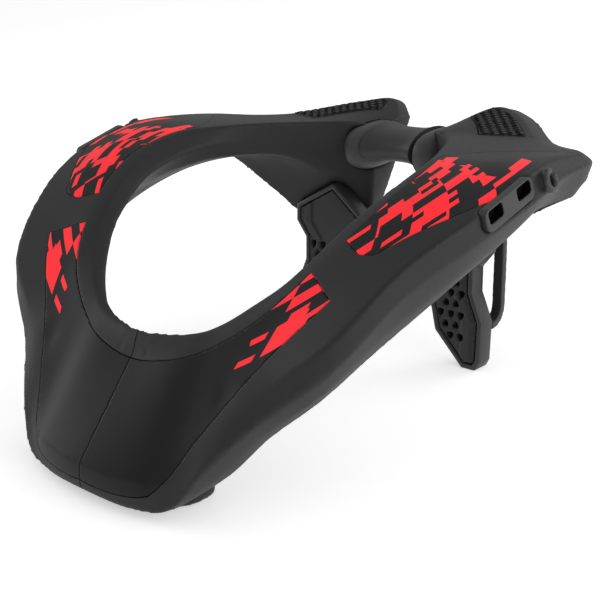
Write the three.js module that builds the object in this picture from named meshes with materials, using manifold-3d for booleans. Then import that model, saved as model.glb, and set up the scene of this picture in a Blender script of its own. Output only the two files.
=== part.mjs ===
// A motocross neck brace: a moulded foam collar in two halves, its inlays, its rear bar and its back pads.
// Millimetres, +Z up. X runs across the wearer, -Y is the chest, +Y the back. The right half is on +X.
import * as THREE from 'three';
import { mergeVertices } from 'three/addons/utils/BufferGeometryUtils.js';
import Module from 'manifold-3d';

// Overall size of the collar
const collarWidth = 272;
const collarLength = 277;
const collarHeight = 126;

// Collar details
const seamGap = 0.6;
const clearance = 0.35;
const neckWallDepth = 20;
const flankHeight = 11;
const ringLift = 2.6;
const bandBulge = 2;
const archLift = 5;
const stepsPerSection = 4;

// Inlays
const plateThickness = 3;
const plateEnd = 5.3;
const panelStart = 5.95;
const panelThickness = 2.6;
const gripThickness = 3;
const gripProud = 1;
const recessGap = 0.6;
const recessOpen = 5;

// Chest pad
const chestPadWidth = 98;
const chestPadFront = 8;
const chestPadLength = 36;
const chestPadInset = 2;
const chestPadRise = 4;
const chestPadSlope = 1.15;
const padGap = 0.5;

// Rear bar. Its middle and the pads' feet keep their share of the collar.
const barDepth = 35;
const barHeight = 19;
const barCentreY = 0.845 * collarLength;
const barCentreZ = 0.841 * collarHeight;
const barReach = 30;
const barSides = 20;
const capThickness = 13;
const capOverhang = 2.6;
const capDrop = 2;

// Back pads
const padThickness = 10;
const padRimWidth = 2.8;
const padHeight = 86;
const padReach = 66;
const padLean = 0.136;
const cushionBack = 4;
const padFootY = 0.729 * collarLength;
const cutSide = 4.8;
const cutPitch = 6.6;
const cutRows = 9;
const cutColumns = 7;
const cutInset = 2.4;

// Strap loops behind the pads
const loopWidth = 6;
const loopDepth = 3.6;
const loopInset = 1;
const loopReach = 19;

// Strap clips
const clipPlace = 7.4;
const clipThickness = 4;
const clipProud = 0.1;
const clipLength = 34;
const clipWidth = 10;
const clipCorner = 3.5;
const clipDrop = 4.8;
const slotLength = 9.4;
const slotWidth = 5.6;
const slotCorner = 1.2;
const slotPitch = 20;
const slotRaise = 1.1;
const slotDepth = 4;

// Hooks beside the clips
const hookPlace = 8.25;
const hookLift = 1;
const hookRadius = 4.2;
const hookBar = 1.6;
const hookDrop = 6;
const hookSteps = 10;

const { lerp, smoothstep } = THREE.MathUtils;
const wasm = await Module();
wasm.setup();

// Sections of the right half, from the seam over the chest, round the shoulder, to the end of the arm.
// Each place is [across, along, up], as shares of half the width, the length and the height. rim is the
// edge of the neck hole, crease the fold outside its lip, fold the fold down the middle of the upper
// face, edge the outer edge, and band the lower outer edge. flank is how far the fold below the edge
// lies out and down, as shares of the flank's height. foot is how far the foot of the neck wall lies
// out and down from the rim, as shares of the wall's depth.
const sections = [
  { rim: [0, 0.16, 0.525], crease: [0, 0.14, 0.45], fold: [0, 0.006, 0.14],
    edge: [0, 0, 0.05], band: [0, 0.05, 0.035], flank: [-0.2, 0.2], foot: [0.1, 0.8] },
  { rim: [0.24, 0.19, 0.545], crease: [0.205, 0.15, 0.49], fold: [0.228, 0.018, 0.14],
    edge: [0.24, 0.013, 0.055], band: [0.225, 0.065, 0.035], flank: [0, 0.25], foot: [0.1, 0.8] },
  { rim: [0.32, 0.215, 0.58], crease: [0.305, 0.17, 0.53], fold: [0.33, 0.037, 0.15],
    edge: [0.375, 0.04, 0.12], band: [0.345, 0.1, 0.05], flank: [0.35, 0.6], foot: [0.15, 0.8] },
  { rim: [0.385, 0.245, 0.635], crease: [0.395, 0.19, 0.58], fold: [0.415, 0.085, 0.285],
    edge: [0.465, 0.08, 0.275], band: [0.445, 0.135, 0.12], flank: [0.55, 0.85], foot: [0.25, 0.75] },
  { rim: [0.45, 0.285, 0.695], crease: [0.485, 0.22, 0.65], fold: [0.525, 0.15, 0.475],
    edge: [0.595, 0.14, 0.45], band: [0.54, 0.175, 0.24], flank: [0.5, 1], foot: [0.4, 0.7] },
  { rim: [0.49, 0.32, 0.75], crease: [0.55, 0.26, 0.73], fold: [0.65, 0.225, 0.67],
    edge: [0.805, 0.19, 0.63], band: [0.68, 0.215, 0.37], flank: [0.1, 1], foot: [0.5, 0.55] },
  { rim: [0.525, 0.37, 0.815], crease: [0.6, 0.33, 0.835], fold: [0.76, 0.31, 0.825],
    edge: [0.915, 0.3, 0.825], band: [0.76, 0.295, 0.49], flank: [0, 1], foot: [0.5, 0.5] },
  { rim: [0.55, 0.435, 0.88], crease: [0.64, 0.425, 0.94], fold: [0.805, 0.425, 0.95],
    edge: [1, 0.43, 0.935], band: [0.835, 0.4, 0.615], flank: [0, 1], foot: [0.5, 0.4] },
  { rim: [0.53, 0.555, 0.93], crease: [0.615, 0.535, 0.99], fold: [0.805, 0.545, 1],
    edge: [0.995, 0.555, 0.99], band: [0.865, 0.515, 0.705], flank: [0.2, 1], foot: [0.2, 0.45] },
  { rim: [0.505, 0.63, 0.91], crease: [0.53, 0.615, 0.985], fold: [0.76, 0.635, 0.985],
    edge: [0.955, 0.64, 0.985], band: [0.85, 0.645, 0.775], flank: [0.5, 0.6], foot: [0.1, 0.4] },
  { rim: [0.41, 0.72, 0.855], crease: [0.41, 0.71, 0.965], fold: [0.76, 0.74, 0.955],
    edge: [0.9, 0.76, 0.945], band: [0.89, 0.735, 0.785], flank: [0.5, 0.35], foot: [0.1, 0.3] },
  { rim: [0.305, 0.765, 0.765], crease: [0.29, 0.78, 0.945], fold: [0.607, 0.834, 0.935],
    edge: [0.645, 0.872, 0.895], band: [0.615, 0.755, 0.62], flank: [0, 0.9], foot: [0.1, 0.3] },
  { rim: [0.25, 0.79, 0.685], crease: [0.225, 0.8, 0.94], fold: [0.385, 0.94, 0.96],
    edge: [0.397, 0.988, 0.915], band: [0.475, 0.79, 0.47], flank: [-0.8, 1], foot: [0.1, 0.3] },
  { rim: [0.185, 0.82, 0.55], crease: [0.16, 0.825, 0.915], fold: [0.262, 0.962, 0.97],
    edge: [0.282, 1, 0.94], band: [0.28, 0.825, 0.415], flank: [-0.7, 1], foot: [0.1, 0.3] },
  { rim: [0.17, 0.82, 0.55], crease: [0.14, 0.83, 0.89], fold: [0.14, 0.91, 0.914],
    edge: [0.15, 0.952, 0.9], band: [0.2, 0.84, 0.45], flank: [-0.7, 1], foot: [0.1, 0.3] },
];
const lastSection = sections.length - 1;

function place([across, along, up]) {
  return new THREE.Vector3(across * collarWidth / 2, along * collarLength, up * collarHeight);
}

// Unit vector from the rim to the outer edge, in plan
function outward(section) {
  return place(section.edge).sub(place(section.rim)).setZ(0).normalize();
}

// One place of every line that runs along the collar, for a row of the table
function linePlaces(section) {
  const out = outward(section);
  const rim = place(section.rim);
  const edge = place(section.edge);
  const flank = edge.clone()
    .addScaledVector(out, section.flank[0] * flankHeight)
    .setZ(edge.z - section.flank[1] * flankHeight);
  const foot = rim.clone()
    .addScaledVector(out, section.foot[0] * neckWallDepth)
    .setZ(rim.z - section.foot[1] * neckWallDepth);
  return { rim, crease: place(section.crease), fold: place(section.fold), edge, flank,
    band: place(section.band), foot };
}

// The lines as smooth curves. The first section's neighbour across the seam keeps them square to it.
const lineNames = ['rim', 'crease', 'fold', 'edge', 'flank', 'band', 'foot'];
const rows = sections.map(linePlaces);
const lines = {};
for (const name of lineNames) {
  const points = rows.map((row) => row[name]);
  const mirrored = points[1].clone().setX(-points[1].x);
  lines[name] = new THREE.CatmullRomCurve3([mirrored, ...points], false, 'centripetal');
}

function linePoint(name, t) {
  return lines[name].getPoint((t + 1) / (lastSection + 1));
}

// A closed section of the collar at t, which counts sections from the seam
function collarSection(t) {
  const p = {};
  for (const name of lineNames) p[name] = linePoint(name, t);
  const frontShare = 1 - smoothstep(t, 6, 9);
  const lip = p.rim.clone().lerp(p.crease, 0.5);
  lip.z += ringLift * frontShare;
  const bandMiddle = p.flank.clone().lerp(p.band, 0.5);
  const centre = p.rim.clone().lerp(p.edge, 0.5);
  bandMiddle.addScaledVector(bandMiddle.clone().sub(centre).normalize(), bandBulge);
  const under = p.foot.clone().lerp(p.band, 0.5);
  under.z += archLift * frontShare;
  const face = (share) => topFace(t, share);
  return [p.rim, lip, p.crease, face(0.17), face(0.34), p.fold, face(0.66), face(0.83), p.edge, p.flank,
    bandMiddle, p.band, under, p.foot];
}

// The upper face at t, with share 0 at the crease, 0.5 at the fold and 1 at the outer edge
function topFace(t, share) {
  const crease = linePoint('crease', t);
  const fold = linePoint('fold', t);
  const edge = linePoint('edge', t);
  const point = share < 0.5 ? crease.lerp(fold, share * 2) : fold.lerp(edge, share * 2 - 1);
  return point;
}

// Closed mesh through a list of loops, each with the same number of points. capOf gives the triangles
// that close an end loop.
function loft(loops, capOf = flatCap) {
  const count = loops[0].length;
  const positions = loops.flat().flatMap((p) => [p.x, p.y, p.z]);
  const indices = [];
  for (let i = 0; i < loops.length - 1; i++) {
    for (let j = 0; j < count; j++) {
      const a = i * count + j;
      const b = i * count + (j + 1) % count;
      indices.push(a, b, b + count, a, b + count, a + count);
    }
  }
  const first = capOf(loops[0]);
  const last = capOf(loops[loops.length - 1]);
  const offset = (loops.length - 1) * count;
  for (const [a, b, c] of first) indices.push(a, c, b);
  for (const [a, b, c] of last) indices.push(offset + a, offset + b, offset + c);
  return closedGeometry(positions, indices);
}

function flatCap(loop) {
  return THREE.ShapeUtils.triangulateShape(flatten(loop), []);
}

// Closes the end of a sheet, whose loop runs along its upper side and back along its lower side
function sheetCap(loop) {
  const last = loop.length - 1;
  const triangles = [];
  for (let j = 0; j < loop.length / 2 - 1; j++) {
    triangles.push([j, j + 1, last - j - 1], [j, last - j - 1, last - j]);
  }
  return triangles;
}

// The loop's points in the plane that it lies closest to
function flatten(loop) {
  const normal = new THREE.Vector3();
  for (let i = 0; i < loop.length; i++) {
    normal.add(loop[i].clone().cross(loop[(i + 1) % loop.length]));
  }
  normal.normalize();
  const seed = Math.abs(normal.z) < 0.9 ? new THREE.Vector3(0, 0, 1) : new THREE.Vector3(1, 0, 0);
  const u = seed.cross(normal).normalize();
  const v = normal.clone().cross(u);
  return loop.map((p) => new THREE.Vector2(p.dot(u), p.dot(v)));
}

function closedGeometry(positions, indices) {
  const geometry = new THREE.BufferGeometry();
  geometry.setAttribute('position', new THREE.Float32BufferAttribute(positions, 3));
  geometry.setIndex(indices);
  return signedVolume(geometry) < 0 ? flipped(geometry) : geometry;
}

function signedVolume(geometry) {
  const p = geometry.attributes.position;
  const index = geometry.index.array;
  let volume = 0;
  for (let i = 0; i < index.length; i += 3) {
    const [a, b, c] = [0, 1, 2].map((k) => new THREE.Vector3().fromBufferAttribute(p, index[i + k]));
    volume += a.dot(b.cross(c)) / 6;
  }
  return volume;
}

function flipped(geometry) {
  const index = geometry.index.array;
  for (let i = 0; i < index.length; i += 3) [index[i + 1], index[i + 2]] = [index[i + 2], index[i + 1]];
  return geometry;
}

// The same shape on the other side of the seam
function mirror(geometry) {
  const copy = geometry.clone().applyMatrix4(new THREE.Matrix4().makeScale(-1, 1, 1));
  return flipped(copy);
}

function bare(geometry) {
  const copy = geometry.clone();
  for (const name of Object.keys(copy.attributes)) {
    if (name !== 'position') copy.deleteAttribute(name);
  }
  return mergeVertices(copy, 1e-4);
}

function toSolid(geometry) {
  const merged = bare(geometry);
  return new wasm.Manifold(new wasm.Mesh({
    numProp: 3,
    vertProperties: new Float32Array(merged.attributes.position.array),
    triVerts: new Uint32Array(merged.index.array),
  }));
}

function fromSolid(solid) {
  const mesh = solid.getMesh();
  const geometry = new THREE.BufferGeometry();
  geometry.setAttribute('position', new THREE.Float32BufferAttribute(mesh.vertProperties, 3));
  geometry.setIndex([...mesh.triVerts]);
  return geometry;
}

function cutAway(geometry, cutters) {
  let solid = toSolid(geometry);
  for (const cutter of cutters) solid = solid.subtract(toSolid(cutter));
  return fromSolid(solid);
}

// A closed sheet on the upper face, from a function that turns the two shares of a place on the sheet
// into its t and share on the face. Each row goes down square to its own chord. The border moves out by
// grow.
function patch(corner, countAlong, countAcross, { proud = 0, depth, grow = 0 }) {
  const grid = [];
  const normals = [];
  for (let i = 0; i <= countAlong; i++) {
    const places = [];
    for (let j = 0; j <= countAcross; j++) places.push(corner(i / countAlong, j / countAcross));
    grid.push(places.map(([t, share]) => ({ point: topFace(t, share) })));
    normals.push(rowNormal(places));
  }
  growBorder(grid, grow);
  const level = (row, i, offset) => row.map(({ point }) => point.clone().addScaledVector(normals[i], offset));
  const loops = grid.map((row, i) => [...level(row, i, proud), ...level(row, i, -depth).reverse()]);
  return loft(loops, sheetCap);
}

// Square to the chord across a row of a sheet and to the sheet's direction there
function rowNormal(places) {
  const step = 0.2;
  const [first, last] = [places[0], places[places.length - 1]];
  const across = topFace(...last).sub(topFace(...first));
  const [t, share] = places[Math.floor(places.length / 2)];
  const along = topFace(Math.min(t + step, lastSection), share).sub(topFace(Math.max(t - step, -0.5), share));
  return across.cross(along).normalize();
}

// Pushes the first and last place of each row and column outwards along the sheet
function growBorder(grid, grow) {
  const columns = grid[0].map((_, j) => grid.map((row) => row[j]));
  for (const list of [...grid, ...columns]) {
    for (const ends of [[0, 1], [list.length - 1, list.length - 2]]) {
      const [outer, next] = ends.map((k) => list[k].point);
      outer.addScaledVector(outer.clone().sub(next).normalize(), grow);
    }
  }
}

// Share on the face for a place across a sheet. A sheet that crosses the fold has a row of places on it.
function overFold(inner, outer, across) {
  const reach = 0.75;
  if (outer <= 0.5) return lerp(inner, outer, across);
  return across <= reach ? lerp(inner, 0.5, across / reach) : lerp(0.5, outer, (across - reach) / (1 - reach));
}

// The chest plate covers the upper face from the crease to the fold line, and at the bottom it turns
// over the fold. Its horns end at the sixth section.
function plateCorner(along, across) {
  const t = lerp(0, plateEnd, along);
  const outer = lerp(0.8, 0.5, smoothstep(t, 1.3, 2.2));
  const horn = smoothstep(t, 3.5, plateEnd);
  return [t, overFold(0.03, outer + 0.08 * horn, across)];
}

function chestPlate(grow, proud = 0) {
  return patch(plateCorner, 22, 4, { proud, depth: plateThickness + grow, grow });
}

// All of the other half, with the seam's gap
function otherSide() {
  const block = new THREE.BoxGeometry(collarWidth, 3 * collarLength, 3 * collarHeight);
  return block.translate((seamGap - collarWidth) / 2, 0, 0);
}

// The shoulder panel starts behind the plate's horn and ends at the foot of the rear bump
function panelCorner(along, across) {
  const front = panelStart + 0.25 * Math.abs(across - 0.45);
  const t = lerp(front, lerp(8.5, 9.8, across), along);
  return [t, overFold(0.07, lerp(0.52, 0.92, smoothstep(t, 5.8, 7.3)), across)];
}

function shoulderPanel(grow, proud = 0) {
  return patch(panelCorner, 16, 4, { proud, depth: panelThickness + grow, grow });
}

// The grip lies on the front of the hump at the rear, up to the fold
function gripCorner(along, across) {
  return [lerp(11, 12.85, along), lerp(lerp(0.2, 0.28, along), 0.455, across)];
}

function helmetGrip(grow, proud = gripProud) {
  return patch(gripCorner, 8, 4, { proud, depth: gripThickness + grow, grow });
}

function collarBody(seam = seamGap / 2) {
  const loops = [];
  const count = lastSection * stepsPerSection;
  for (let i = 0; i <= count; i++) {
    const loop = collarSection(i / stepsPerSection);
    if (i === 0) loop.forEach((p) => p.setX(seam));
    loops.push(loop);
  }
  return loft(loops);
}

// Outline of the chest pad from the middle outwards: across as a share of half its width, along as a
// share of its length
const chestPadOutline = [
  { across: 0, along: 0 }, { across: 0.68, along: 0.04 }, { across: 0.86, along: 0.18 },
  { across: 1, along: 0.5 }, { across: 1, along: 0.8 }, { across: 0.86, along: 0.97 },
  { across: 0, along: 1 },
];

function chestPadLoop(inset, heightAt) {
  const half = chestPadWidth / 2 - inset;
  const right = chestPadOutline.map(({ across, along }) => {
    const y = lerp(chestPadFront + inset, chestPadFront + chestPadLength - inset, along);
    return new THREE.Vector3(across * half, y, heightAt(y));
  });
  const left = right.slice(1, -1).reverse().map((p) => p.clone().setX(-p.x));
  return [...right, ...left];
}

// The chest pad stands on the ground. Its slope ends within the collar, which is then cut away from it.
function chestPad() {
  const slope = (y) => chestPadRise + (y - chestPadFront) * chestPadSlope;
  const block = loft([
    chestPadLoop(chestPadInset, () => 0), chestPadLoop(0, () => chestPadInset), chestPadLoop(0, slope),
  ]);
  const body = collarBody(-padGap).translate(0, 0, -padGap);
  return cutAway(block, [body, mirror(body)]);
}

// Bar behind the neck: an oval bar across the gap between the arms, with a cap at each end
function oval(depth, height, centreZ, fromX, toX) {
  const loops = [fromX, toX].map((x) => {
    const loop = [];
    for (let i = 0; i < barSides; i++) {
      const angle = 2 * Math.PI * i / barSides;
      const y = barCentreY + depth / 2 * Math.cos(angle);
      const z = centreZ + height / 2 * Math.sin(angle);
      loop.push(new THREE.Vector3(x, y, z));
    }
    return loop;
  });
  return loft(loops);
}

function rearBar() {
  const reach = barReach - capThickness - clearance;
  return oval(barDepth, barHeight, barCentreZ, -reach, reach);
}

function barCap(grow) {
  const width = barDepth + 2 * (capOverhang + grow);
  const height = barHeight + 2 * (capOverhang + grow);
  return oval(width, height, barCentreZ - capDrop, barReach - capThickness - grow, barReach + grow);
}

// Outline of a back pad: across, as a share of the reach from the middle, and up, as a share of its height
const padOutline = [
  { across: 0.58, up: 1 }, { across: 1, up: 0.83 }, { across: 1, up: 0.72 }, { across: 0.89, up: 0.62 },
  { across: 0.89, up: 0.47 }, { across: 0.99, up: 0.3 }, { across: 0.98, up: 0.06 },
  { across: 0.94, up: 0 }, { across: 0.81, up: 0 }, { across: 0.54, up: 0.2 },
  { across: 0.5, up: 0.33 }, { across: 0.23, up: 0.8 },
];

function padShape(inset) {
  const points = padOutline.map((p) => new THREE.Vector2(p.across * padReach, p.up * padHeight));
  const inner = points.map((p, i) => {
    const before = points[(i + points.length - 1) % points.length];
    const after = points[(i + 1) % points.length];
    const one = p.clone().sub(before).normalize();
    const two = after.clone().sub(p).normalize();
    const normal = new THREE.Vector2(one.y + two.y, -one.x - two.x).normalize();
    const miter = inset / Math.max(0.5, normal.dot(new THREE.Vector2(one.y, -one.x)));
    return p.clone().addScaledVector(normal, miter);
  });
  return new THREE.Shape(inner);
}

// Stands a flat outline up as a pad that leans back: x across, y up, and its thickness towards the back
function standPad(geometry, front) {
  const up = new THREE.Vector3(0, padLean, 1).normalize();
  const back = new THREE.Vector3(0, 1, -padLean).normalize();
  const across = new THREE.Vector3(1, 0, 0);
  const matrix = new THREE.Matrix4().makeBasis(across, up, back);
  matrix.setPosition(back.multiplyScalar(front).add(new THREE.Vector3(0, padFootY, 0)));
  const copy = geometry.clone().applyMatrix4(matrix);
  return signedVolume(bare(copy)) < 0 ? flipped(bare(copy)) : bare(copy);
}

function padBlock(inset, front, depth) {
  const geometry = new THREE.ExtrudeGeometry(padShape(inset), { depth, bevelEnabled: false });
  return standPad(geometry, front);
}

// All that lies below the ground
function ground() {
  const box = new THREE.BoxGeometry(2 * collarWidth, 2 * collarLength, collarHeight);
  return box.translate(0, collarLength / 2, -collarHeight / 2);
}

function padFrame() {
  const inside = padBlock(padRimWidth, -1, padThickness - cushionBack + 1);
  return cutAway(padBlock(0, 0, padThickness), [inside, ground()]);
}

// Triangular cut-outs on a staggered pattern over the inner, lower part of the cushion
function cutOuts() {
  const prisms = [];
  const rowHeight = cutPitch * Math.sqrt(3) / 2;
  for (let row = 0; row < cutRows; row++) {
    for (let column = 0; column < cutColumns; column++) {
      const x = 0.44 * padReach + (column + (row % 2) / 2) * cutPitch;
      const up = 0.12 * padHeight + row * rowHeight;
      if (!insideField(x, up)) continue;
      prisms.push(triangle(x, up, row % 2 === 0));
    }
  }
  return prisms;
}

function insideField(x, up) {
  const shape = padShape(padRimWidth + clearance + cutInset).getPoints();
  const limit = 0.84 * padReach - cutInset;
  return x < limit && up < 0.6 * padHeight && contains(shape, x, up);
}

function contains(polygon, x, y) {
  let inside = false;
  for (let i = 0, j = polygon.length - 1; i < polygon.length; j = i++) {
    const [a, b] = [polygon[i], polygon[j]];
    if ((a.y > y) !== (b.y > y) && x < (b.x - a.x) * (y - a.y) / (b.y - a.y) + a.x) inside = !inside;
  }
  return inside;
}

function triangle(x, up, pointsUp) {
  const radius = cutSide / Math.sqrt(3);
  const corners = [0, 1, 2].map((k) => {
    const angle = 2 * Math.PI * k / 3 + (pointsUp ? Math.PI / 2 : -Math.PI / 2);
    return new THREE.Vector2(x + radius * Math.cos(angle), up + radius * Math.sin(angle));
  });
  const geometry = new THREE.ExtrudeGeometry(new THREE.Shape(corners),
    { depth: 3 * padThickness, bevelEnabled: false });
  return standPad(geometry, -padThickness);
}

function padCushion() {
  const depth = padThickness - cushionBack - clearance;
  const block = padBlock(padRimWidth + clearance, 0, depth);
  return cutAway(block, [...cutOuts(), ground()]);
}

// Middle line of a strap loop: back from the pad's back face, as a share of the loop's reach, and up as a
// share of the collar's height. It ends in the pad's back, near its foot.
const loopPath = [
  { back: 1, up: 0.6 }, { back: 0.89, up: 0.44 }, { back: 0.76, up: 0.3 },
  { back: 0.63, up: 0.2 }, { back: 0.32, up: 0.165 }, { back: 0.18, up: 0.165 },
];

// The strap loop: a flat bar that runs down behind the pad, with its foot on the pad's back
function strapLoop(grow) {
  const half = loopWidth / 2 + grow;
  const outline = new THREE.Shape([
    new THREE.Vector2(-half, -loopDepth / 2 - grow), new THREE.Vector2(half, -loopDepth / 2 - grow),
    new THREE.Vector2(half, loopDepth / 2 + grow), new THREE.Vector2(-half, loopDepth / 2 + grow),
  ]);
  const x = padReach - loopWidth / 2 - loopInset;
  const backY = padFootY + padThickness;
  const points = loopPath.map(({ back, up }) => new THREE.Vector3(x, backY + back * loopReach, up * collarHeight));
  points[0].z += grow;
  points[points.length - 1].y -= grow;
  const path = new THREE.CatmullRomCurve3(points);
  return new THREE.ExtrudeGeometry(outline, { steps: 16, extrudePath: path, bevelEnabled: false });
}

// Places a shape on the side face: x along the edge, y down the face and z out of it. drop is how far
// its middle lies below the edge, and lift how far out of the face it starts.
function onSide(geometry, t, drop, lift) {
  const edge = linePoint('edge', t);
  const down = linePoint('flank', t).sub(edge).normalize();
  const along = linePoint('edge', t - 0.15).sub(linePoint('edge', t + 0.15)).normalize();
  const out = along.clone().cross(down).normalize();
  const across = out.clone().cross(along);
  const matrix = new THREE.Matrix4().makeBasis(along, across, out);
  matrix.setPosition(edge.addScaledVector(across, drop).addScaledVector(out, lift));
  return geometry.applyMatrix4(matrix);
}

function roundedPlate(length, width, radius) {
  const shape = new THREE.Shape();
  const [a, b] = [length / 2, width / 2];
  shape.moveTo(-a + radius, -b);
  shape.lineTo(a - radius, -b);
  shape.absarc(a - radius, -b + radius, radius, -Math.PI / 2, 0);
  shape.lineTo(a, b - radius);
  shape.absarc(a - radius, b - radius, radius, 0, Math.PI / 2);
  shape.lineTo(-a + radius, b);
  shape.absarc(-a + radius, b - radius, radius, Math.PI / 2, Math.PI);
  shape.lineTo(-a, -b + radius);
  shape.absarc(-a + radius, -b + radius, radius, Math.PI, 1.5 * Math.PI);
  return shape;
}

function clipBlock(grow) {
  const shape = roundedPlate(clipLength + 2 * grow, clipWidth + 2 * grow, clipCorner);
  const depth = clipThickness + 2 * grow;
  const geometry = new THREE.ExtrudeGeometry(shape, { depth, bevelEnabled: false, curveSegments: 3 });
  return onSide(geometry, clipPlace, clipDrop, clipProud - clipThickness - grow);
}

function slotCut(side) {
  const geometry = new THREE.ExtrudeGeometry(roundedPlate(slotLength, slotWidth, slotCorner),
    { depth: 2 * slotDepth, bevelEnabled: false, curveSegments: 2 });
  geometry.translate(side * slotPitch / 2, -slotRaise, -slotDepth);
  return onSide(geometry, clipPlace, clipDrop, 0);
}

function strapClip() {
  return cutAway(clipBlock(0), [slotCut(-1), slotCut(1)]);
}

// Open hook next to the clip: a round bar bent to a C that stands out of the side face
function clipHook() {
  const points = [];
  for (let i = 0; i <= hookSteps; i++) {
    const angle = lerp(-0.6, 1.15, i / hookSteps) * Math.PI;
    points.push(new THREE.Vector3(hookRadius * Math.cos(angle), hookRadius * Math.sin(angle), 0));
  }
  const section = new THREE.Shape();
  section.absarc(0, 0, hookBar, 0, 2 * Math.PI);
  const geometry = new THREE.ExtrudeGeometry(section,
    { steps: hookSteps, extrudePath: new THREE.CatmullRomCurve3(points), bevelEnabled: false,
      curveSegments: 6 });
  return onSide(geometry, hookPlace, hookDrop, hookBar + hookLift);
}

const black = { colour: '#2d2d2f', roughness: 0.7 };
const grey = { colour: '#3c3c3e', roughness: 0.8 };
const dark = { colour: '#1f1f20', roughness: 0.6 };

function node(name, geometry, { colour, roughness }) {
  const material = new THREE.MeshStandardMaterial({ color: colour, roughness, metalness: 0 });
  const mesh = new THREE.Mesh(bare(geometry), material);
  mesh.name = name;
  return mesh;
}

const brace = new THREE.Group();

function addPair(name, geometry, finish) {
  const right = bare(geometry);
  brace.add(node(`${name}_right`, right, finish));
  brace.add(node(`${name}_left`, mirror(right), finish));
}

const collar = cutAway(collarBody(), [
  chestPlate(recessGap, recessOpen), shoulderPanel(recessGap, recessOpen),
  helmetGrip(recessGap, recessOpen),
  barCap(clearance), padBlock(-clearance, -padThickness, 2 * padThickness + clearance), strapLoop(clearance),
  clipBlock(clearance), slotCut(-1), slotCut(1),
]);
addPair('collar', collar, grey);
brace.add(node('chest_pad', chestPad(), black));
addPair('chest_plate', cutAway(chestPlate(0), [otherSide()]), dark);
addPair('shoulder_panel', shoulderPanel(0), dark);
addPair('helmet_grip', helmetGrip(0), dark);
brace.add(node('rear_bar', rearBar(), black));
addPair('bar_cap', barCap(0), grey);
addPair('pad_frame', padFrame(), grey);
addPair('pad_cushion', padCushion(), dark);
addPair('strap_loop', strapLoop(0), black);
addPair('strap_clip', strapClip(), black);
addPair('clip_hook', clipHook(), black);

// The part rests on z = 0, centred over its origin
const box = new THREE.Box3().setFromObject(brace);
const centre = box.getCenter(new THREE.Vector3());
brace.position.set(-centre.x, -centre.y, -box.min.z);

export default brace;
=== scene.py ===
# %% [markdown]
# # A motocross neck brace
# This lesson dresses a neck brace: a moulded foam collar in two halves, with smooth inlays, a bar behind
# the neck and two pads that hang down the back. The solids come ready made and fix every size and place.
# Here each of them gets the soft edges, the print, the grain and the padding that the real one has.

# %% Load the frame
import math

import bmesh
import bpy
import numpy as np
from mathutils import Euler, Matrix, Vector
from mathutils.bvhtree import BVHTree


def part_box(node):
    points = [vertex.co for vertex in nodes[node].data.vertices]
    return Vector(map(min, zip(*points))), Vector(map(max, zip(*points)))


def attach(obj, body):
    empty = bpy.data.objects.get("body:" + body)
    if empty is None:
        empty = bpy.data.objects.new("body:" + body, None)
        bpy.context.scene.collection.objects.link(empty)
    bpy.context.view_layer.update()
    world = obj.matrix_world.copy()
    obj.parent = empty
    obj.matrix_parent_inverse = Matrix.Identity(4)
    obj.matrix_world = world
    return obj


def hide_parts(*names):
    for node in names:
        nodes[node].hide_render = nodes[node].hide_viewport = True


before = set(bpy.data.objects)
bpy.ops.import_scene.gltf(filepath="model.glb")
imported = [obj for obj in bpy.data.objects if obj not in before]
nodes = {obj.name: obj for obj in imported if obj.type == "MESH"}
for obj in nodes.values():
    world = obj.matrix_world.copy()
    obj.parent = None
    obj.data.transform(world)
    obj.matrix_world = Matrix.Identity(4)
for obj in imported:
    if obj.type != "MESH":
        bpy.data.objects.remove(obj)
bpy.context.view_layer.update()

SIDES = ("right", "left")
MM = 0.001

# %% [markdown]
# ## Camera
# The photograph was taken with a long lens from the wearer's front left and a little above. The place of
# the camera was worked out from the brace's symmetry: each pair of matching corners points back to it.
# It stands two thirds of a metre away, so the near side looks larger than the far side.

# %% Camera
CAMERA_PLACE = Vector((410.18, -386.46, 253.95)) * MM
CAMERA_FORWARD = Vector((-0.6795, 0.6484, -0.3433)).normalized()
CAMERA_RIGHT = Vector((0.712, 0.6956, -0.0953)).normalized()
LENS_MM = 72
SENSOR_MM = 36


def make_camera():
    data = bpy.data.cameras.new("camera")
    data.lens = LENS_MM
    data.sensor_width = SENSOR_MM
    data.clip_start = 0.01
    camera = bpy.data.objects.new("camera", data)
    bpy.context.scene.collection.objects.link(camera)
    up = CAMERA_RIGHT.cross(CAMERA_FORWARD).normalized()
    right = CAMERA_FORWARD.cross(up)
    turn = Matrix((right, up, -CAMERA_FORWARD)).transposed().to_4x4()
    camera.matrix_world = Matrix.Translation(CAMERA_PLACE) @ turn
    bpy.context.scene.camera = camera
    return camera


camera = make_camera()
print("camera:", [round(v, 3) for v in camera.location])

# %% [markdown]
# ## Helpers for shapes
# Three ways of shaping are used again and again. A node's copy has its loose triangles joined first. A
# remesh turns it into even small faces, and relaxing those rounds every edge alike, as on moulded foam.
# Crisp plastic keeps its faces and gets a bevel on each edge. The collar's wide faces come from a few long
# facets, so what is nearly flat is smoothed once more, while the creases between the faces stay.

# %% Copy, remesh and relax
COARSER = 1.0
TILT = Euler((0.5, 0.36, 0.62)).to_matrix().to_4x4()


def mesh_of(*names):
    """The meshes of some nodes in one bmesh, with their loose triangles joined."""
    mesh = bmesh.new()
    for name in names:
        mesh.from_mesh(nodes[name].data)
    bmesh.ops.remove_doubles(mesh, verts=mesh.verts, dist=0.005 * MM)
    return mesh


def piece_from(mesh, name):
    """A new piece at the origin from a bmesh, which is freed."""
    data = bpy.data.meshes.new(name)
    mesh.to_mesh(data)
    mesh.free()
    piece = bpy.data.objects.new(name, data)
    bpy.context.scene.collection.objects.link(piece)
    return piece


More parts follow.
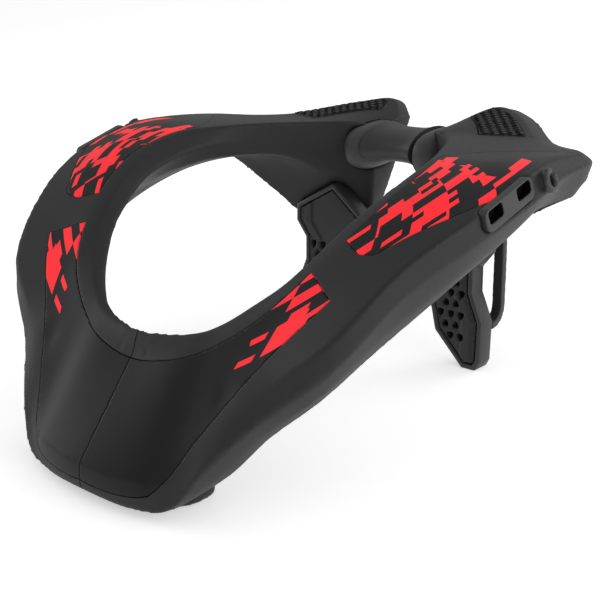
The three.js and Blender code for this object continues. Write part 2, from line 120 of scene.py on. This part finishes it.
def bake(piece):
    """Bakes the piece's modifiers into its mesh."""
    graph = bpy.context.evaluated_depsgraph_get()
    baked = bpy.data.meshes.new_from_object(piece.evaluated_get(graph))
    piece.modifiers.clear()
    piece.data = baked


def remesh(piece, voxel):
    """Replaces the mesh by even faces about one voxel wide. It is tilted meanwhile, because an edge that
    runs along the voxels' own grid would come out in long steps."""
    piece.data.transform(TILT)
    modifier = piece.modifiers.new("remesh", "REMESH")
    modifier.mode = "VOXEL"
    modifier.voxel_size = voxel * COARSER
    bake(piece)
    piece.data.transform(TILT.inverted())


def relax(piece, passes):
    """Rounds all edges by pulling each vertex towards its neighbours."""
    mesh = bmesh.new()
    mesh.from_mesh(piece.data)
    for _ in range(passes):
        bmesh.ops.smooth_vert(
            mesh, verts=mesh.verts, factor=0.5, use_axis_x=True, use_axis_y=True, use_axis_z=True
        )
    mesh.to_mesh(piece.data)
    mesh.free()


def even_out(piece, angle, passes):
    """Smooths what is nearly flat and leaves every crease that turns by more than the angle."""
    mesh = bmesh.new()
    mesh.from_mesh(piece.data)
    mesh.normal_update()
    least = math.cos(math.radians(angle))
    flat = [v.index for v in mesh.verts if min(f.normal.dot(v.normal) for f in v.link_faces) > least]
    mesh.free()
    piece.vertex_groups.new(name="flat").add(flat, 1.0, "REPLACE")
    modifier = piece.modifiers.new("even", "SMOOTH")
    modifier.factor = 0.5
    modifier.iterations = passes
    modifier.vertex_group = "flat"
    bake(piece)
    piece.vertex_groups.clear()
    print(piece.name, "is nearly flat at", len(flat), "of", len(piece.data.vertices), "vertices")


def shade(piece, angle):
    """Smooth shading, with hard edges where the faces turn by more than the angle."""
    for polygon in piece.data.polygons:
        polygon.use_smooth = True
    piece.data.set_sharp_from_angle(angle=math.radians(angle))


def rounded(node, name, voxel, passes):
    """A moulded copy of a node: even faces, with every edge rounded."""
    piece = piece_from(mesh_of(node), name)
    remesh(piece, voxel)
    relax(piece, passes)
    shade(piece, 60)
    return piece


def bevelled(node, name, width, angle=28):
    """A crisp copy of a node, with a round bevel on each edge that folds by more than the angle."""
    mesh = mesh_of(node)
    bmesh.ops.dissolve_limit(
        mesh, angle_limit=math.radians(1.5), verts=mesh.verts, edges=mesh.edges, use_dissolve_boundaries=False
    )
    sharp = [e for e in mesh.edges if len(e.link_faces) == 2 and e.calc_face_angle() > math.radians(angle)]
    bmesh.ops.bevel(
        mesh, geom=sharp, offset=width, segments=3, profile=0.5, affect="EDGES",
        offset_type="OFFSET", clamp_overlap=True, material=-1,
    )
    piece = piece_from(mesh, name)
    shade(piece, 40)
    return piece


def mirrored(piece, name):
    """The same piece for the left half."""
    mesh = bmesh.new()
    mesh.from_mesh(piece.data)
    bmesh.ops.scale(mesh, vec=Vector((-1, 1, 1)), verts=mesh.verts)
    bmesh.ops.reverse_faces(mesh, faces=mesh.faces)
    copy = piece_from(mesh, name)
    shade(copy, 50)
    return copy


def finish_piece(piece, material, slot, *replaced):
    """Gives the piece its finish, hides the solids it stands for and hangs it under the root body."""
    piece.data.materials.clear()
    piece.data.materials.append(material)
    if replaced:
        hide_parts(*replaced)
    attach(piece, "root")
    return piece


print("voxels are", COARSER, "times their final size")

# %% [markdown]
# ## Helpers for materials
# Every finish here is the Principled shader with a pattern in its colour, its roughness and its bump. The
# patterns read Object coordinates in metres, so a grain of half a millimetre is a scale of about 2000.

# %% Node helpers
def new_material(name):
    material = bpy.data.materials.new(name)
    material.use_nodes = True
    shader = material.node_tree.nodes["Principled BSDF"]
    return material, material.node_tree, shader


def add(tree, kind, values=(), **settings):
    """Adds a shader node, sets its options, and fills or links its inputs by name or number."""
    made = tree.nodes.new("ShaderNode" + kind)
    for key, value in settings.items():
        setattr(made, key, value)
    for key, value in dict(values).items():
        if isinstance(value, bpy.types.NodeSocket):
            tree.links.new(value, made.inputs[key])
        else:
            made.inputs[key].default_value = value
    return made


def math_node(tree, operation, first, second=0.0):
    return add(tree, "Math", {0: first, 1: second}, operation=operation).outputs[0]


def object_place(tree):
    return add(tree, "TexCoord").outputs["Object"]


def grain(tree, place, scale, detail=3.0):
    return add(tree, "TexNoise", {"Vector": place, "Scale": scale, "Detail": detail}).outputs["Fac"]


def spread(tree, value, low, high):
    """Maps a pattern from 0..1 to low..high."""
    return add(tree, "MapRange", {"Value": value, "To Min": low, "To Max": high}).outputs["Result"]


def mix_colour(tree, share, first, second):
    made = add(tree, "Mix", {"Factor": share}, data_type="RGBA")
    for socket, value in ((6, first), (7, second)):
        if isinstance(value, bpy.types.NodeSocket):
            tree.links.new(value, made.inputs[socket])
        else:
            made.inputs[socket].default_value = (*value, 1)
    return made.outputs[2]


def bump(tree, height, distance, strength=1.0, under=None):
    values = {"Height": height, "Distance": distance, "Strength": strength}
    if under is not None:
        values["Normal"] = under
    return add(tree, "Bump", values).outputs["Normal"]


# %% [markdown]
# ## Moulded foam skin
# The collar is dense foam with a moulded skin. It is charcoal, not black, quite matt, and has a fine even
# grain with slightly shinier places where the mould was polished. A little cloudiness in the colour keeps
# the large plain faces from looking like paint.

# %% Collar finish
SHELL_DARK = (0.015, 0.015, 0.016)
SHELL_LIGHT = (0.021, 0.021, 0.022)


def shell_material():
    material, tree, shader = new_material("moulded_skin")
    place = object_place(tree)
    cloud = grain(tree, place, 22)
    fine = grain(tree, place, 2600, 2)
    pores = grain(tree, place, 900, 3)
    colour = mix_colour(tree, cloud, SHELL_DARK, SHELL_LIGHT)
    tree.links.new(colour, shader.inputs["Base Color"])
    tree.links.new(spread(tree, pores, 0.5, 0.66), shader.inputs["Roughness"])
    shader.inputs["Specular IOR Level"].default_value = 0.28
    first = bump(tree, pores, 0.05 * MM, 0.5)
    tree.links.new(bump(tree, fine, 0.03 * MM, 0.6, first), shader.inputs["Normal"])
    return material


shell = shell_material()
print("made", shell.name)

# %% [markdown]
# ## Printed inlays
# The inlays are smoother and darker than the skin, with red dashes printed on them. The print follows the
# curve of the collar, so each inlay gets a UV map of its own: one way along the collar's ring, the other
# way outwards. On that map a snapped grid turns random numbers into slanted dashes of two sizes.

# %% Ring map
RING_CENTRE = Vector((0, -12, 0)) * MM
RING_RADIUS = 85 * MM


def ring_map(piece, side):
    """A UV map in metres: along the ring, and outwards over the face. The left one starts elsewhere."""
    start = 0 if side == "right" else 90 * MM
    layer = piece.data.uv_layers.new(name="ring")
    for loop in piece.data.loops:
        place = piece.data.vertices[loop.vertex_index].co - RING_CENTRE
        angle = math.atan2(abs(place.x), -place.y)
        outwards = math.hypot(place.x, place.y) - 0.6 * place.z
        layer.data[loop.index].uv = (angle * RING_RADIUS, outwards + start)


INLAY_DARK = (0.007, 0.007, 0.008)
INLAY_LIGHT = (0.010, 0.010, 0.011)
PRINT_RED = (0.90, 0.020, 0.030)


LARGE_DASH = (13 * MM, 5.6 * MM, 0.6)
SMALL_DASH = (6.5 * MM, 2.8 * MM, 0.6)
HOLE_DASH = (8 * MM, 2.8 * MM, 0.6)
LARGE_SHARE = 0.46
SMALL_SHARE = 0.14
HOLE_SHARE = 0.12


def dashes(tree, along, outwards, length, width, slant, share, shift):
    """1 on slanted dashes of one size and 0 between them. share is how much of the face they cover."""
    leaning = math_node(tree, "MULTIPLY_ADD", outwards, slant)
    leaning.node.inputs[2].default_value = shift
    slid = math_node(tree, "ADD", along, leaning)
    column = math_node(tree, "FLOOR", math_node(tree, "DIVIDE", slid, length))
    row = math_node(tree, "FLOOR", math_node(tree, "DIVIDE", outwards, width))
    cell = add(tree, "CombineXYZ", {"X": column, "Y": row}).outputs[0]
    chance = add(tree, "TexWhiteNoise", {"Vector": cell}, noise_dimensions="2D").outputs["Value"]
    return math_node(tree, "LESS_THAN", chance, share)


def inlay_material(name, start, full, end, gone):
    """Smooth dark inlay. The print starts at the first place along the ring, and is gone by the last."""
    material, tree, shader = new_material(name)
    place = object_place(tree)
    ring = add(tree, "UVMap", uv_map="ring").outputs[0]
    axes = add(tree, "SeparateXYZ", {0: ring})
    along, outwards = axes.outputs["X"], axes.outputs["Y"]
    rise = add(tree, "MapRange", {"Value": along, "From Min": start, "From Max": full}).outputs[0]
    fall = add(tree, "MapRange", {"Value": along, "From Min": gone, "From Max": end}).outputs[0]
    cover = math_node(tree, "MULTIPLY", rise, fall)
    large = dashes(tree, along, outwards, *LARGE_DASH, math_node(tree, "MULTIPLY", cover, LARGE_SHARE), 0)
    small = dashes(
        tree, along, outwards, *SMALL_DASH, math_node(tree, "MULTIPLY", cover, SMALL_SHARE), 3 * MM
    )
    holes = dashes(
        tree, along, outwards, *HOLE_DASH, math_node(tree, "MULTIPLY", cover, HOLE_SHARE), 5 * MM
    )
    either = math_node(tree, "MAXIMUM", large, small)
    ink = math_node(tree, "SUBTRACT", either, holes)
    ink = add(tree, "Clamp", {"Value": ink}).outputs[0]
    plain = mix_colour(tree, grain(tree, place, 30), INLAY_DARK, INLAY_LIGHT)
    tree.links.new(mix_colour(tree, ink, plain, PRINT_RED), shader.inputs["Base Color"])
    # Painted light: the red print also glows a little, through emission at strength 0.35.
    tree.links.new(mix_colour(tree, ink, (0, 0, 0), PRINT_RED), shader.inputs["Emission Color"])
    shader.inputs["Emission Strength"].default_value = 0.35
    pores = grain(tree, place, 1400, 2)
    skin = spread(tree, pores, 0.42, 0.54)
    tree.links.new(skin, shader.inputs["Roughness"])
    shader.inputs["Specular IOR Level"].default_value = 0.17
    relief = bump(tree, pores, 0.03 * MM, 0.4)
    tree.links.new(bump(tree, ink, 0.04 * MM, 0.6, relief), shader.inputs["Normal"])
    return material


plate_ink = inlay_material("plate_print", 52 * MM, 74 * MM, 160 * MM, 170 * MM)
panel_ink = inlay_material("panel_print", 90 * MM, 98 * MM, 142 * MM, 166 * MM)
print("made", plate_ink.name, "and", panel_ink.name)

# %% [markdown]
# ## Grip rubber, satin plastic and soft pad
# The grips on the two humps at the back stop the helmet from sliding, so they are rubber with raised
# diamonds. The pad frames, clips and loops are satin plastic with a faint grain. The pads are dull foam
# with a rubbery skin, which shows a soft sheen where it turns away.

# %% Other finishes
def plain_material(name, dark, light, rough, grain_scale, depth):
    material, tree, shader = new_material(name)
    place = object_place(tree)
    pores = grain(tree, place, grain_scale, 2)
    colour = mix_colour(tree, grain(tree, place, 40), dark, light)
    tree.links.new(colour, shader.inputs["Base Color"])
    tree.links.new(spread(tree, pores, rough - 0.06, rough + 0.06), shader.inputs["Roughness"])
    shader.inputs["Specular IOR Level"].default_value = 0.35
    tree.links.new(bump(tree, pores, depth, 0.5), shader.inputs["Normal"])
    return material, shader


def paint_groove_shade(material, shader):
    """Paints shade into the grooves: mixes the colour towards black where the attribute cell is low."""
    tree = material.node_tree
    height = add(tree, "Attribute", attribute_name="cell").outputs["Fac"]
    colour = shader.inputs["Base Color"].links[0].from_socket
    tree.links.new(mix_colour(tree, height, (0.004, 0.004, 0.004), colour), shader.inputs["Base Color"])


rubber, rubber_shader = plain_material(
    "grip_rubber", (0.022, 0.022, 0.023), (0.034, 0.034, 0.035), 0.62, 1500, 0.03 * MM
)
# Painted shade: the grip's grooves are mixed towards black.
paint_groove_shade(rubber, rubber_shader)
satin, _ = plain_material(
    "satin_plastic", (0.024, 0.024, 0.025), (0.034, 0.034, 0.035), 0.42, 2200, 0.02 * MM
)
smooth_black, _ = plain_material(
    "bar_plastic", (0.024, 0.024, 0.025), (0.036, 0.036, 0.037), 0.5, 1800, 0.03 * MM
)
# Painted light: the caps get the bar's plastic made paler, for the light their round sides catch.
cap_painted_light, _ = plain_material(
    "cap_plastic_painted_light", (0.04, 0.04, 0.041), (0.055, 0.055, 0.056), 0.5, 1800, 0.03 * MM
)
foam, foam_shader = plain_material(
    "pad_foam", (0.012, 0.012, 0.013), (0.02, 0.02, 0.021), 0.7, 1200, 0.08 * MM
)
foam_shader.inputs["Sheen Weight"].default_value = 0.15
print("made", rubber.name, satin.name, smooth_black.name, foam.name)

# %% [markdown]
# ## One skin for the collar and its inlays
# On the real collar the inlays lie flush in shallow recesses, and only a hairline shows where one ends. So
# the right half is first made as one smooth skin with the recesses filled. Its end at the seam is drawn
# out past the middle, so that relaxing can't round it, and is cut off straight afterwards.

# %% Grown inlay copies
SEAM = 0.3 * MM
OVERRUN = 5 * MM
SHEET_LIMIT = 5 * MM
OPPOSITE = -0.75
INLAYS = ("chest_plate_right", "shoulder_panel_right", "helmet_grip_right")


def stretch_past_seam(mesh):
    for vertex in mesh.verts:
        if abs(vertex.co.x - SEAM) < 0.1 * MM:
            vertex.co.x = -OVERRUN


def grown(node, out, up, down):
    """A copy of an inlay, moved outwards at its border, up on its top and down on its underside."""
    mesh = mesh_of(node)
    mesh.normal_update()
    tree = BVHTree.FromBMesh(mesh)
    facing = Vector((0.25, -0.35, 0.9)).normalized()
    tops, bottoms = set(), set()
    mesh.faces.ensure_lookup_table()
    for face in mesh.faces:
        start = face.calc_center_median() - face.normal * 0.01 * MM
        _, _, behind, depth = tree.ray_cast(start, -face.normal)
        if behind is None or depth > SHEET_LIMIT:
            continue
        if face.normal.dot(mesh.faces[behind].normal) < OPPOSITE:
            (tops if face.normal.dot(facing) > 0 else bottoms).add(face)
    ends = {f for f in mesh.faces if f not in tops | bottoms and abs(f.calc_center_median().x) < 2 * SEAM}
    moves = {}
    for vertex in mesh.verts:
        top = sum((f.normal for f in vertex.link_faces if f in tops), Vector())
        bottom = sum((f.normal for f in vertex.link_faces if f in bottoms), Vector())
        side = sum((f.normal for f in vertex.link_faces if f not in tops | bottoms | ends), Vector())
        move = top.normalized() * up + bottom.normalized() * down
        if side.length > 0:
            move += side.normalized() * out
        moves[vertex] = move
    for vertex, move in moves.items():
        vertex.co += move
    if node.startswith("chest_plate"):
        for vertex in mesh.verts:
            if vertex.co.x < 0.6 * MM:
                vertex.co.x = -OVERRUN
    return mesh


def join(mesh, other):
    """Adds the other bmesh to the first and frees it."""
    data = bpy.data.meshes.new("part_of_skin")
    other.to_mesh(data)
    other.free()
    mesh.from_mesh(data)
    bpy.data.meshes.remove(data)


def smooth_skin():
    mesh = mesh_of("collar_right")
    stretch_past_seam(mesh)
    for node in INLAYS:
        lower = 1.0 * MM if node.startswith("helmet_grip") else 0
        join(mesh, grown(node, 0.8 * MM, -lower, 0.8 * MM))
    skin = piece_from(mesh, "skin")
    remesh(skin, SKIN_VOXEL)
    relax(skin, SKIN_PASSES)
    even_out(skin, FLAT_ANGLE, FLAT_PASSES)
    return skin


SKIN_VOXEL = 1.1 * MM
SKIN_PASSES = 6
FLAT_ANGLE = 4
FLAT_PASSES = 60
skin = smooth_skin()
print("skin:", len(skin.data.polygons), "faces")

# %% [markdown]
# ## Cutting the collar and the inlays
# Each recess is now cut with a copy of its inlay that is a little wider, and each inlay is what a copy of
# its own size has in common with the skin. Both follow the same surface, so they are flush everywhere.

# %% Cuts
GAP = 0.45 * MM


def boolean(piece, cutter, operation):
    """Cuts the piece with the cutter, or keeps what they share, and removes the cutter."""
    modifier = piece.modifiers.new("cut", "BOOLEAN")
    modifier.operation = operation
    modifier.solver = "EXACT"
    modifier.object = cutter
    bake(piece)
    bpy.data.objects.remove(cutter)


def trim_at_seam(piece):
    """Cuts off straight what lies past the seam."""
    mesh = bmesh.new()
    mesh.from_mesh(piece.data)
    bmesh.ops.bisect_plane(
        mesh, geom=mesh.verts[:] + mesh.edges[:] + mesh.faces[:], dist=0,
        plane_co=(SEAM, 0, 0), plane_no=(-1, 0, 0), clear_outer=True,
    )
    bmesh.ops.holes_fill(mesh, edges=[e for e in mesh.edges if e.is_boundary])
    mesh.to_mesh(piece.data)
    mesh.free()


def copy_of(piece, name):
    copy = bpy.data.objects.new(name, piece.data.copy())
    bpy.context.scene.collection.objects.link(copy)
    return copy


def cut_inlay(node, name):
    inlay = copy_of(skin, name)
    boolean(inlay, piece_from(grown(node, 0, 3 * MM, 0), "cutter"), "INTERSECT")
    trim_at_seam(inlay)
    shade(inlay, 50)
    return inlay


def cut_collar():
    collar = copy_of(skin, "shell_right")
    for node in INLAYS:
        boolean(collar, piece_from(grown(node, GAP, 4 * MM, GAP), "cutter"), "DIFFERENCE")
    trim_at_seam(collar)
    shade(collar, 50)
    return collar


collar = cut_collar()
plate = cut_inlay("chest_plate_right", "plate_right")
panel = cut_inlay("shoulder_panel_right", "panel_right")
bpy.data.objects.remove(skin)
for piece in (collar, plate, panel):
    print(piece.name, len(piece.data.polygons), "faces")

# %% [markdown]
# ## The other half
# The left half is the right one mirrored. Mirroring turns the faces inside out, so they are reversed. The
# inlays get their ring map after that, with another start on each side, so their prints differ. The
# pockets under the clips' slots lie in shade, so painted shade goes on their faces: a near-black material.

# %% Both halves
POCKET_MARGIN = np.array((1.2, 1.2, -8.0)) * MM


def paint_pocket_shade(piece, side, walls_only):
    """Paints shade on the faces within and under the clip's slots, as a near-black second material."""
    places = np.array([v.co[:] for v in nodes[f"strap_clip_{side}"].data.vertices])
    axes = np.linalg.svd(places - places.mean(axis=0), full_matrices=False)[2]
    spots = places @ axes.T
    low = spots.min(axis=0) + POCKET_MARGIN
    high = spots.max(axis=0) - POCKET_MARGIN
    piece.data.materials.append(pocket_shade)
    shaded = 0
    for polygon in piece.data.polygons:
        spot = axes @ np.array(polygon.center)
        if (spot < low).any() or (spot > high).any():
            continue
        if walls_only and abs(axes[2] @ np.array(polygon.normal)) > 0.6:
            continue
        polygon.material_index = 1
        shaded += 1
    print(piece.name, "has", shaded, "lined faces")


# Painted shade: a near-black material for the shaded pockets under the clips' slots.
pocket_shade, pocket_shade_shader = plain_material(
    "slot_painted_shade", (0.002, 0.002, 0.002), (0.004, 0.004, 0.004), 0.8, 1500, 0.02 * MM
)
pocket_shade_shader.inputs["Specular IOR Level"].default_value = 0.05
for side in SIDES:
    here = side == "right"
    half = collar if here else mirrored(collar, "shell_left")
    finish_piece(half, shell, "collar", f"collar_{side}")
    # Painted shade in the pockets under the clip's slots.
    paint_pocket_shade(half, side, False)
    front = plate if here else mirrored(plate, "plate_left")
    ring_map(front, side)
    finish_piece(front, plate_ink, "inlay", f"chest_plate_{side}")
    shoulder = panel if here else mirrored(panel, "panel_left")
    ring_map(shoulder, side)
    finish_piece(shoulder, panel_ink, "inlay", f"shoulder_panel_{side}")
print("two halves, four inlays")

# %% [markdown]
# ## Grips
# The grip's raised cells are real relief, since they show where the light grazes them. Each vertex of the
# upper face sinks by a depth that is greatest in the grooves between the cells. The same height is kept as
# an attribute, which paints shade into the grooves: the rubber's colour is mixed towards black there.

# %% Grips
CELL_LONG = 5.6 * MM
CELL_WIDE = 3.0 * MM
GROOVE_DEPTH = 0.9 * MM


def cell_height(place):
    """Height of a field of six-sided cells, from 0 in the grooves to 1 on the tops."""
    best = 1.0
    for shift in (0.0, 0.5):
        u = (place.x / CELL_LONG + shift) % 1 - 0.5
        v = (place.y / (2 * CELL_WIDE) + shift) % 1 - 0.5
        best = min(best, max(abs(u) * 1.5 + abs(v) * 1.0, abs(v) * 2.0))
    return max(0.0, min(1.0, (0.47 - best) * 7))


def sink_grooves(piece):
    """Sinks the grooves and keeps each vertex's height, which the rubber's colour reads."""
    heights = piece.data.attributes.new("cell", "FLOAT", "POINT")
    for vertex, height in zip(piece.data.vertices, heights.data):
        height.value = cell_height(vertex.co)
        if vertex.normal.z > 0.5:
            vertex.co -= vertex.normal * GROOVE_DEPTH * (1 - height.value)


for side in SIDES:
    grip = rounded(f"helmet_grip_{side}", f"grip_{side}", 0.45 * MM, 2)
    sink_grooves(grip)
    finish_piece(grip, rubber, "grip", f"helmet_grip_{side}")
    print(grip.name, len(grip.data.polygons), "faces")

# %% [markdown]
# ## Bar behind the neck
# The bar joins the two arms. It is thinner in the middle than at its ends, like a saddle. A ring of
# vertices is extruded step by step across the gap and scaled at each step. At each end it runs into an
# oval boss that sits in the arm: a ball whose sides are pressed flatter. The bosses are the bar's plastic
# painted paler, as painted light for the light that their round sides catch.

# %% Bar
BAR_STEPS = 16
BAR_SIDES = 48
BAR_WAIST = 0.93
BAR_FLARE = 1.12
CAP_ROOM = 3 * MM
CAP_SQUARENESS = 2.6


def saddle_bar(name, node):
    """A smooth oval bar that fills the node's box and narrows towards its middle."""
    low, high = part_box(node)
    centre = (low + high) / 2
    size = high - low
    mesh = bmesh.new()
    ring = bmesh.ops.create_circle(mesh, cap_ends=True, segments=BAR_SIDES, radius=0.5)
    turn = Matrix.Rotation(math.pi / 2, 4, "Y")
    bmesh.ops.transform(mesh, matrix=turn, verts=ring["verts"])
    bmesh.ops.translate(mesh, vec=Vector((-0.5, 0, 0)), verts=ring["verts"])
    front = mesh.faces[:]
    for _ in range(BAR_STEPS):
        made = bmesh.ops.extrude_face_region(mesh, geom=front)
        moved = [g for g in made["geom"] if isinstance(g, bmesh.types.BMVert)]
        bmesh.ops.translate(mesh, vec=Vector((1 / BAR_STEPS, 0, 0)), verts=moved)
        bmesh.ops.delete(mesh, geom=front, context="FACES_ONLY")
        front = [g for g in made["geom"] if isinstance(g, bmesh.types.BMFace)]
    for vertex in mesh.verts:
        waist = BAR_WAIST + (BAR_FLARE - BAR_WAIST) * abs(2 * vertex.co.x) ** 3
        vertex.co.y *= waist
        vertex.co.z *= waist
    fitting = Matrix.Translation(centre) @ Matrix.Diagonal((*size, 1))
    bmesh.ops.transform(mesh, matrix=fitting, verts=mesh.verts)
    bmesh.ops.holes_fill(mesh, edges=mesh.edges)
    bmesh.ops.recalc_face_normals(mesh, faces=mesh.faces)
    piece = piece_from(mesh, name)
    shade(piece, 50)
    return piece


def domed_cap(name, node):
    """A soft oval boss as high and as deep as the node's box, and a little longer."""
    low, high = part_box(node)
    half = (high - low) / 2
    half.x += CAP_ROOM
    mesh = bmesh.new()
    bmesh.ops.create_uvsphere(mesh, u_segments=64, v_segments=40, radius=1)
    for vertex in mesh.verts:
        power = sum(abs(v) ** CAP_SQUARENESS for v in vertex.co) ** (1 / CAP_SQUARENESS)
        vertex.co /= power
    bmesh.ops.transform(
        mesh, matrix=Matrix.Translation((low + high) / 2) @ Matrix.Diagonal((*half, 1)), verts=mesh.verts
    )
    piece = piece_from(mesh, name)
    shade(piece, 60)
    return piece


bar = saddle_bar("neck_bar", "rear_bar")
finish_piece(bar, smooth_black, "bar", "rear_bar")
for side in SIDES:
    cap = domed_cap(f"cap_{side}", f"bar_cap_{side}")
    finish_piece(cap, cap_painted_light, "bar", f"bar_cap_{side}")
print(bar.name, len(bar.data.polygons), "faces")

# %% [markdown]
# ## Plastic parts
# The pad frames are hard plastic with broken edges, so they keep their faces and get a bevel. The strap
# loops, the clips and their hooks are small mouldings with soft corners, so they are remeshed finely.

# %% Frames, loops, clips and hooks
MOULDINGS = {
    "strap_loop": ("loop", 0.5 * MM, 3),
    "strap_clip": ("clip", 0.4 * MM, 2),
    "clip_hook": ("hook", 0.35 * MM, 2),
}
for side in SIDES:
    rim = bevelled(f"pad_frame_{side}", f"frame_{side}", 0.9 * MM)
    finish_piece(rim, satin, "frame", f"pad_frame_{side}")
    for node, (name, voxel, passes) in MOULDINGS.items():
        piece = rounded(f"{node}_{side}", f"{name}_{side}", voxel, passes)
        finish_piece(piece, satin, "frame", f"{node}_{side}")
        if node == "strap_clip":
            # Painted shade on the walls of the clip's slots.
            paint_pocket_shade(piece, side, True)
        print(piece.name, len(piece.data.polygons), "faces")

# %% [markdown]
# ## Soft pads
# The two cushions and the chest pad are soft. Each starts as an evenly meshed copy that is a little
# smaller than its solid, swells under pressure as cloth, and is stopped before it leaves its place.

# %% Swelling
PRESSURE = 4.0
SWELL_FRAMES = 20


def swell(piece, limit, shrink):
    """Blows the piece up as cloth, with no point moving further than the limit."""
    piece.data.update()
    for vertex in piece.data.vertices:
        vertex.co -= vertex.normal * shrink
    start = [v.co.copy() for v in piece.data.vertices]
    cloth = piece.modifiers.new("swell", "CLOTH")
    cloth.settings.use_pressure = True
    cloth.settings.uniform_pressure_force = PRESSURE
    cloth.settings.effector_weights.gravity = 0
    scene = bpy.context.scene
    for step in range(1, SWELL_FRAMES + 1):
        scene.frame_set(step)
    graph = bpy.context.evaluated_depsgraph_get()
    swollen = piece.evaluated_get(graph).to_mesh()
    for vertex, place, before in zip(piece.data.vertices, swollen.vertices, start):
        move = place.co - before
        vertex.co = before + move * min(1, limit / max(move.length, limit))
    piece.modifiers.clear()
    scene.frame_set(1)


# %% [markdown]
# The front of a pad has a smooth raised band along its outer side, with two fine lines pressed in beside
# the frame. Both follow the pad's outline, which a short table gives.

# %% Pads
PAD_LEAN = 0.136
OUTLINE = ((0.0, 60.0), (5.2, 64.7), (25.8, 65.3), (40.4, 58.7), (53.3, 58.7), (61.9, 66.0), (86.0, 66.0))
BAND_WIDTH = 12.4 * MM
BAND_HEIGHT = 0.7 * MM
LINES = (4.6 * MM, 5.8 * MM)
LINE_WIDTH = 0.45 * MM
LINE_DEPTH = 0.4 * MM


def outline_at(height):
    """How far out the pad reaches at a height, both in metres."""
    level = height / MM
    for (low, inner), (high, outer) in zip(OUTLINE, OUTLINE[1:]):
        if level <= high:
            return (inner + (outer - inner) * max(0, level - low) / (high - low)) * MM
    return OUTLINE[-1][1] * MM


def soft_step(value, width):
    share = max(0.0, min(1.0, value / width + 0.5))
    return share * share * (3 - 2 * share)


def mould_front(cushion):
    """Raises the band and presses in the lines on the face that looks towards the wearer."""
    forward = Vector((0, -1, PAD_LEAN)).normalized()
    cushion.data.update()
    for vertex in cushion.data.vertices:
        if vertex.normal.dot(forward) < 0.7:
            continue
        inset = outline_at(vertex.co.z) - abs(vertex.co.x)
        height = BAND_HEIGHT * soft_step(BAND_WIDTH - inset, 1.2 * MM)
        for line in LINES:
            height -= LINE_DEPTH * max(0, 1 - abs(inset - line) / LINE_WIDTH)
        vertex.co += forward * height


for side in SIDES:
    cushion = rounded(f"pad_cushion_{side}", f"cushion_{side}", 0.65 * MM, 1)
    swell(cushion, 0.6 * MM, 0.5 * MM)
    mould_front(cushion)
    shade(cushion, 70)
    finish_piece(cushion, foam, "pad", f"pad_cushion_{side}")
    print(cushion.name, len(cushion.data.polygons), "faces")

chest = rounded("chest_pad", "chest_cushion", 1.6 * MM, 4)
swell(chest, 1.0 * MM, 0.8 * MM)
shade(chest, 70)
finish_piece(chest, foam, "pad", "chest_pad")
print(chest.name, len(chest.data.polygons), "faces")

# %% [markdown]
# ## Floor and light
# A pale studio: a white floor, two large soft boxes low at the sides that brighten the flanks, and one
# behind, so that the upper faces stay dark as in the photograph.

# %% Studio
def white_floor():
    mesh = bmesh.new()
    bmesh.ops.create_grid(mesh, x_segments=1, y_segments=1, size=6)
    floor = piece_from(mesh, "floor")
    material, tree, shader = new_material("floor_paper")
    paper = grain(tree, object_place(tree), 60)
    tree.links.new(mix_colour(tree, paper, (0.9, 0.9, 0.9), (0.93, 0.93, 0.93)), shader.inputs["Base Color"])
    shader.inputs["Roughness"].default_value = 0.9
    shader.inputs["Specular IOR Level"].default_value = 0.1
    shader.inputs["Emission Color"].default_value = (1, 1, 1, 1)
    shader.inputs["Emission Strength"].default_value = 0.45
    floor.data.materials.append(material)
    return floor


def soft_box(name, place, size, power):
    """An area light that looks at the brace."""
    data = bpy.data.lights.new(name, "AREA")
    data.shape = "RECTANGLE"
    data.size, data.size_y = size
    data.energy = power
    light = bpy.data.objects.new(name, data)
    bpy.context.scene.collection.objects.link(light)
    light.location = place
    aim = Vector((0, 0, 0.07)) - Vector(place)
    light.rotation_mode = "QUATERNION"
    light.rotation_quaternion = aim.to_track_quat("-Z", "Y")
    return light


def white_world(strength):
    world = bpy.data.worlds.new("studio")
    world.use_nodes = True
    world.node_tree.nodes["Background"].inputs["Color"].default_value = (1, 1, 1, 1)
    world.node_tree.nodes["Background"].inputs["Strength"].default_value = strength
    bpy.context.scene.world = world


floor = white_floor()
soft_box("side_right", (1.3, 0.1, 0.45), (1.0, 0.6), 7)
soft_box("side_left", (-1.3, -0.3, 0.4), (1.0, 0.6), 3.5)
soft_box("behind", (0.7, 1.3, 0.9), (1.2, 0.6), 6)
white_world(0.55)
bpy.context.scene.view_settings.view_transform = "Standard"
print("floor and three lights")
